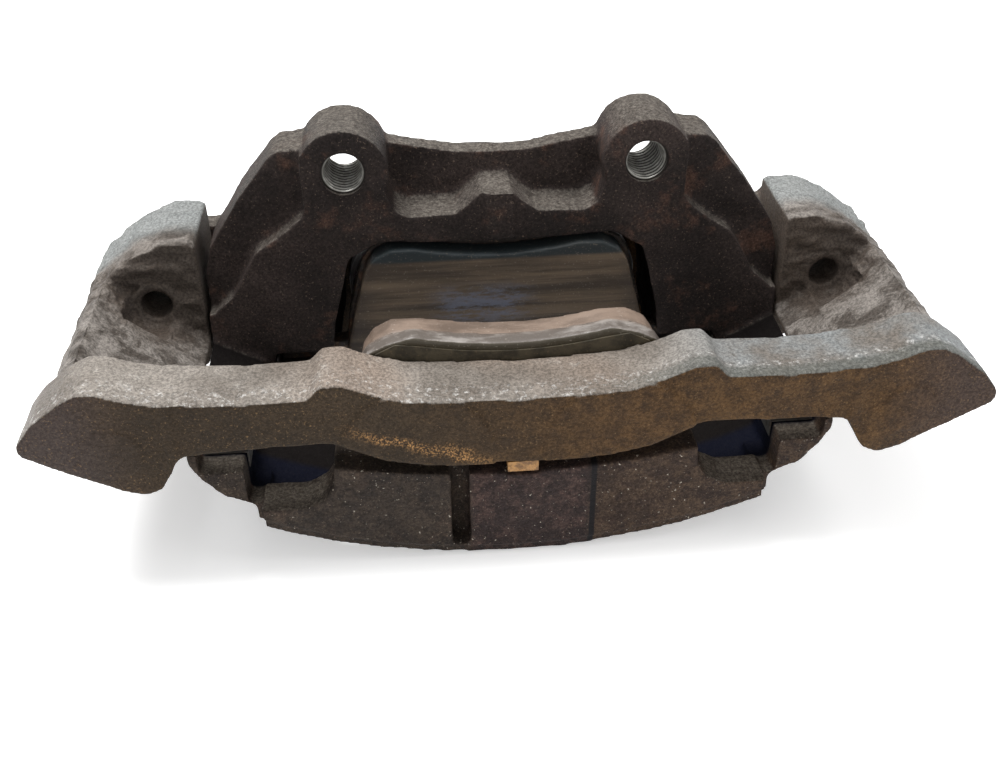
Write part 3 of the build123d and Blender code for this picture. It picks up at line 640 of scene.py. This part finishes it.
VOXEL = 0.85 * MM
SMOOTH_ROUNDS = 6
SAND_DEPTH = 0.7 * MM
RUNNING_GAP_X = 101.2 * MM      # where the housing slides past the carrier
RUNNING_GAP_HALF = 1.5 * MM
RUNNING_GAP_KEEP = 0.15         # share of the roughness that is left beside the gap
EAR_FACE_R = 14 * MM            # machined faces and walls, which stay true
EAR_FACE_MARGIN = 0.6 * MM
EAR_WALL_R = EAR_THREAD_R + 1.6 * MM
EAR_OPENED_R = EAR_THREAD_R + 1.15 * MM     # leaves room for the thread piece
LUG_FACE_R = 9 * MM
PIN_FACE_R = 8.5 * MM
PISTON_X = 30.5 * MM
PISTON_Z = -54 * MM
PISTON_BORE_R = 23 * MM
PISTON_BORE_HIGH_Y = 16 * MM
HOLLOW_X, HOLLOW_Z = 118 * MM, -43 * MM     # the torn hollow round each pin bore
HOLLOW_R = 20 * MM
HOLLOW_STRETCH_X = 1.25
HOLLOW_LOW_Y, HOLLOW_FADE_Y = -40 * MM, 10 * MM
ARM_LOW_X, ARM_FADE_X = 101 * MM, 3 * MM
ARM_LOW_Y, ARM_FADE_Y = -80 * MM, 6 * MM
ARM_TEARS = 0.55 * MM           # extra depth all over the arm
HOLLOW_TEARS = 1.6 * MM         # what the middle of the hollow adds to that


def beside_gap(points, keep):
    """Keeps the faces that slide past each other nearly flat."""
    near = np.abs(np.abs(points[:, 0]) - RUNNING_GAP_X) < RUNNING_GAP_HALF
    return np.where(near, RUNNING_GAP_KEEP, keep)


def carrier_true_faces(points):
    """0 on what is machined: the ears' mounting faces and hole walls, and the pin lugs."""
    keep = np.ones(len(points))
    for _, side in SIDES:
        ear = np.hypot(points[:, 0] - side * EAR_X, points[:, 2])
        keep[(ear < EAR_FACE_R) & (points[:, 1] > -EAR_FACE_MARGIN)] = 0.0
        keep[ear < EAR_WALL_R] = 0.0
        lug = np.hypot(points[:, 0] - side * PIN_X, points[:, 2] - PIN_Z)
        keep[lug < LUG_FACE_R] = 0.0
    return beside_gap(points, keep)


def housing_true_faces(points):
    """0 round the pin bores and the piston bores, which are machined."""
    keep = np.ones(len(points))
    for _, side in SIDES:
        pin = np.hypot(points[:, 0] - side * PIN_X, points[:, 2] - PIN_Z)
        keep[pin < PIN_FACE_R] = 0.0
        piston = np.hypot(points[:, 0] - side * PISTON_X, points[:, 2] - PISTON_Z)
        keep[(piston < PISTON_BORE_R) & (points[:, 1] < PISTON_BORE_HIGH_Y)] = 0.0
    return beside_gap(points, keep)


def fade_in(values, start, length):
    """0 up to start, then rising to 1 over length."""
    return np.clip((values - start) / length, 0.0, 1.0)


def arm_roughness(points):
    """Extra depth on the side arms: torn sand, deepest in the hollow round each pin bore."""
    x, y, z = np.abs(points[:, 0]), points[:, 1], points[:, 2]
    on_arm = fade_in(x, ARM_LOW_X, ARM_FADE_X) * fade_in(y, ARM_LOW_Y, ARM_FADE_Y)
    off_bore = np.hypot((x - HOLLOW_X) / HOLLOW_STRETCH_X, z - HOLLOW_Z)
    near = np.clip(1.0 - off_bore / HOLLOW_R, 0.0, 1.0)
    ahead = fade_in(y, HOLLOW_LOW_Y, HOLLOW_FADE_Y) * (y < 0)
    return on_arm * (ARM_TEARS + HOLLOW_TEARS * near * ahead)


iron_dark = carrier_iron()
iron_grey = housing_iron()

carrier_low_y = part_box("carrier")[0].y
ear_holes = [(side * EAR_X, 0.0, EAR_THREAD_R, EAR_OPENED_R, carrier_low_y) for _, side in SIDES]
carrier = solid_copy("carrier_casting", "carrier", VOXEL, SMOOTH_ROUNDS, ear_holes)
roughen(carrier, SAND_DEPTH, scale=70, keep_out=carrier_true_faces)
dress(carrier, iron_dark, "carrier", "carrier")

pin_holes = [(side * PIN_X, PIN_Z, PIN_BORE_R, PIN_BORE_R, PIN_BORE_LOW_Y) for _, side in SIDES]
housing = solid_copy("housing_casting", "housing", VOXEL, SMOOTH_ROUNDS, pin_holes)
roughen(housing, SAND_DEPTH, scale=60, keep_out=housing_true_faces, rougher=arm_roughness)
dress(housing, iron_grey, "housing", "housing")


# ---------------------------------------------------------------- threads in the ears

THREAD_WALL = 0.6 * MM
THREAD_AROUND = 72
THREAD_ROWS_PER_TURN = 10
FLANK_SLOPE = 2.6
FRONT_INSET = 1.4 * MM
BACK_INSET = 0.9 * MM
thread_steel = thread_surface()


def ear_thread(name, x, y0, y1):
    """Internal thread: a tube whose inner wall follows a helix."""
    around = THREAD_AROUND
    along = int((y1 - y0) / THREAD_PITCH * THREAD_ROWS_PER_TURN)
    outer = EAR_THREAD_R + THREAD_DEPTH + THREAD_WALL
    vertices = []
    for i in range(along + 1):
        y = y0 + (y1 - y0) * i / along
        for j in range(around):
            angle = 2 * math.pi * j / around
            turn = (y / THREAD_PITCH + j / around) % 1.0
            flank = min(abs(turn - 0.5) * FLANK_SLOPE, 1.0)
            radius = EAR_THREAD_R + THREAD_DEPTH * flank
            vertices.append((x + radius * math.cos(angle), y, radius * math.sin(angle)))
    base = len(vertices)
    for y in (y0, y1):
        for j in range(around):
            angle = 2 * math.pi * j / around
            vertices.append((x + outer * math.cos(angle), y, outer * math.sin(angle)))
    faces = []
    for i in range(along):
        row, above = i * around, (i + 1) * around
        for j in range(around):
            k = (j + 1) % around
            faces.append((row + j, row + k, above + k, above + j))
    last, far = along * around, base + around
    for j in range(around):
        k = (j + 1) % around
        faces.append((j, k, base + k, base + j))
        faces.append((last + j, last + k, far + k, far + j))
        faces.append((base + j, base + k, far + k, far + j))
    return new_piece(name, vertices, faces)


for word, side in SIDES:
    thread = ear_thread(f"ear_thread_{word}", side * EAR_X, EAR_FRONT_Y + FRONT_INSET, -BACK_INSET)
    dress(thread, thread_steel, "carrier")


# ---------------------------------------------------------------- pads

PAD_VOXEL = 0.8 * MM
inner_plate_steel = rusty_steel(
    "inner_plate_steel",
    dark=(0.018, 0.014, 0.012),
    light=(0.042, 0.032, 0.026),
    rust=(0.085, 0.045, 0.026),
)
outer_surface = outer_pad_surface()
shim_steel = shim_surface()
pad_looks = (
    ("inner", friction_worn(), inner_plate_steel),
    ("outer", outer_surface, outer_surface),
)

for place, friction, plate_look in pad_looks:
    block = solid_copy(f"{place}_friction", f"{place}_pad_friction", PAD_VOXEL, smooth_rounds=4)
    roughen(block, amount=0.30 * MM, scale=120)
    dress(block, friction, f"{place}_pad", f"{place}_pad_friction")
    plate = solid_copy(f"{place}_plate", f"{place}_pad_plate", PAD_VOXEL, smooth_rounds=3)
    roughen(plate, amount=0.25 * MM, scale=160)
    dress(plate, plate_look, f"{place}_pad", f"{place}_pad_plate")
    recolor(f"{place}_pad_shim", shim_steel)


# ---------------------------------------------------------------- rubber boots

boot_rubber = rubber()
BOOT_STEPS_PER_FOLD = 10


def bellows_profile(start, end, inner, outer, folds, thickness):
    """Wavy sleeve: out along its outer skin and back along its inner skin."""
    steps = folds * BOOT_STEPS_PER_FOLD
    swing = outer - inner - thickness
    skin = []
    for i in range(steps + 1):
        share = i / steps
        wave = 0.5 - 0.5 * math.cos(2 * math.pi * folds * share)
        skin.append((inner + thickness + swing * wave, start + (end - start) * share))
    return skin + [(radius - thickness, y) for radius, y in reversed(skin)]


def add_boot(name, node, inner, folds, thickness, steps):
    """A boot in a CAD boot's box, in place of the CAD boot."""
    lo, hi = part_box(node)
    centre_x, centre_z = (lo.x + hi.x) / 2, (lo.z + hi.z) / 2
    profile = bellows_profile(lo.y, hi.y, inner, (hi.x - lo.x) / 2, folds, thickness)
    boot = lathe_y(name, centre_x, centre_z, profile, steps)
    boot.data.materials.append(boot_rubber)
    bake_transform(boot)
    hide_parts(node)


for word, _ in SIDES:
    add_boot(f"pin_boot_{word}", f"guide_pin_boot_{word}",
             inner=5.9 * MM, folds=3, thickness=1.2 * MM, steps=64)

for word, _ in SIDES:
    add_boot(f"piston_boot_{word}", f"dust_boot_{word}",
             inner=20.3 * MM, folds=2, thickness=0.6 * MM, steps=96)


# ---------------------------------------------------------------- small steel parts

zinc = plated_steel("zinc_plate", (0.30, 0.29, 0.25), (0.13, 0.08, 0.05), rough=0.38)
spring = plated_steel("spring_steel", (0.060, 0.056, 0.052), (0.050, 0.034, 0.024), rough=0.50)
chrome = plated_steel("piston_chrome", (0.62, 0.62, 0.61), (0.24, 0.20, 0.16), rough=0.20)

for word, _ in SIDES:
    recolor(f"guide_pin_{word}", zinc)
    recolor(f"guide_pin_bolt_{word}", zinc)
    recolor(f"guide_bush_{word}", zinc)
    recolor(f"piston_{word}", chrome)
    recolor(f"piston_seal_{word}", boot_rubber)
    recolor(f"pad_clip_inner_{word}", spring)
    recolor(f"pad_clip_outer_{word}", spring)
recolor("bleeder_screw", zinc)
recolor("bleeder_cap", boot_rubber)


# ---------------------------------------------------------------- floor, light and camera

FLOOR_HALF = 4.0
FLOOR_CORNERS = ((-1, -1), (1, -1), (1, 1), (-1, 1))
floor_z = cad_box[0][2]
floor = new_piece(
    "floor",
    [(x * FLOOR_HALF, y * FLOOR_HALF, floor_z) for x, y in FLOOR_CORNERS],
    [(0, 1, 2, 3)],
    smooth=False,
)
floor.data.materials.append(floor_material())

LIGHT_DEPTH_SHARE = 0.7


def area_light(name, place, target, width, power):
    data = bpy.data.lights.new(name, "AREA")
    data.shape = "RECTANGLE"
    data.size = width
    data.size_y = width * LIGHT_DEPTH_SHARE
    data.energy = power
    light = bpy.data.objects.new(name, data)
    light.location = place
    light.rotation_euler = (Vector(target) - Vector(place)).to_track_quat("-Z", "Y").to_euler()
    bpy.context.scene.collection.objects.link(light)


area_light("key", (-0.30, 0.10, 1.00), (0, -0.02, 0), width=0.70, power=19)
area_light("fill", (0.8, -0.2, 0.8), (0, 0, 0), width=0.6, power=4)
area_light("front", (-0.1, -1.2, 0.5), (0, 0, -0.03), width=0.8, power=1.5)

world = bpy.data.worlds.new("studio")
world.use_nodes = True
background = world.node_tree.nodes["Background"]
background.inputs["Color"].default_value = (1.0, 1.0, 1.0, 1.0)
background.inputs["Strength"].default_value = 0.62
bpy.context.scene.world = world
bpy.context.scene.view_settings.view_transform = "Standard"

CAMERA_PLACE = Vector((-0.0278, -0.3666, 0.1609))
YAW = math.radians(4.757)
PITCH = math.radians(35.80)
ROLL = math.radians(-0.40)

camera_data = bpy.data.cameras.new("camera")
camera_data.lens = 41.05
camera_data.sensor_width = 36.0
camera_data.clip_start = 0.01
camera = bpy.data.objects.new("camera", camera_data)
flat = math.cos(PITCH)
forward = Vector((math.sin(YAW) * flat, math.cos(YAW) * flat, -math.sin(PITCH)))
level = Vector((math.cos(YAW), -math.sin(YAW), 0.0))
upright = level.cross(forward)
right = level * math.cos(ROLL) + upright * math.sin(ROLL)
top = upright * math.cos(ROLL) - level * math.sin(ROLL)
turn = Matrix((right, top, -forward)).transposed()
camera.matrix_world = Matrix.Translation(CAMERA_PLACE) @ turn.to_4x4()
bpy.context.scene.collection.objects.link(camera)
bpy.context.scene.camera = camera
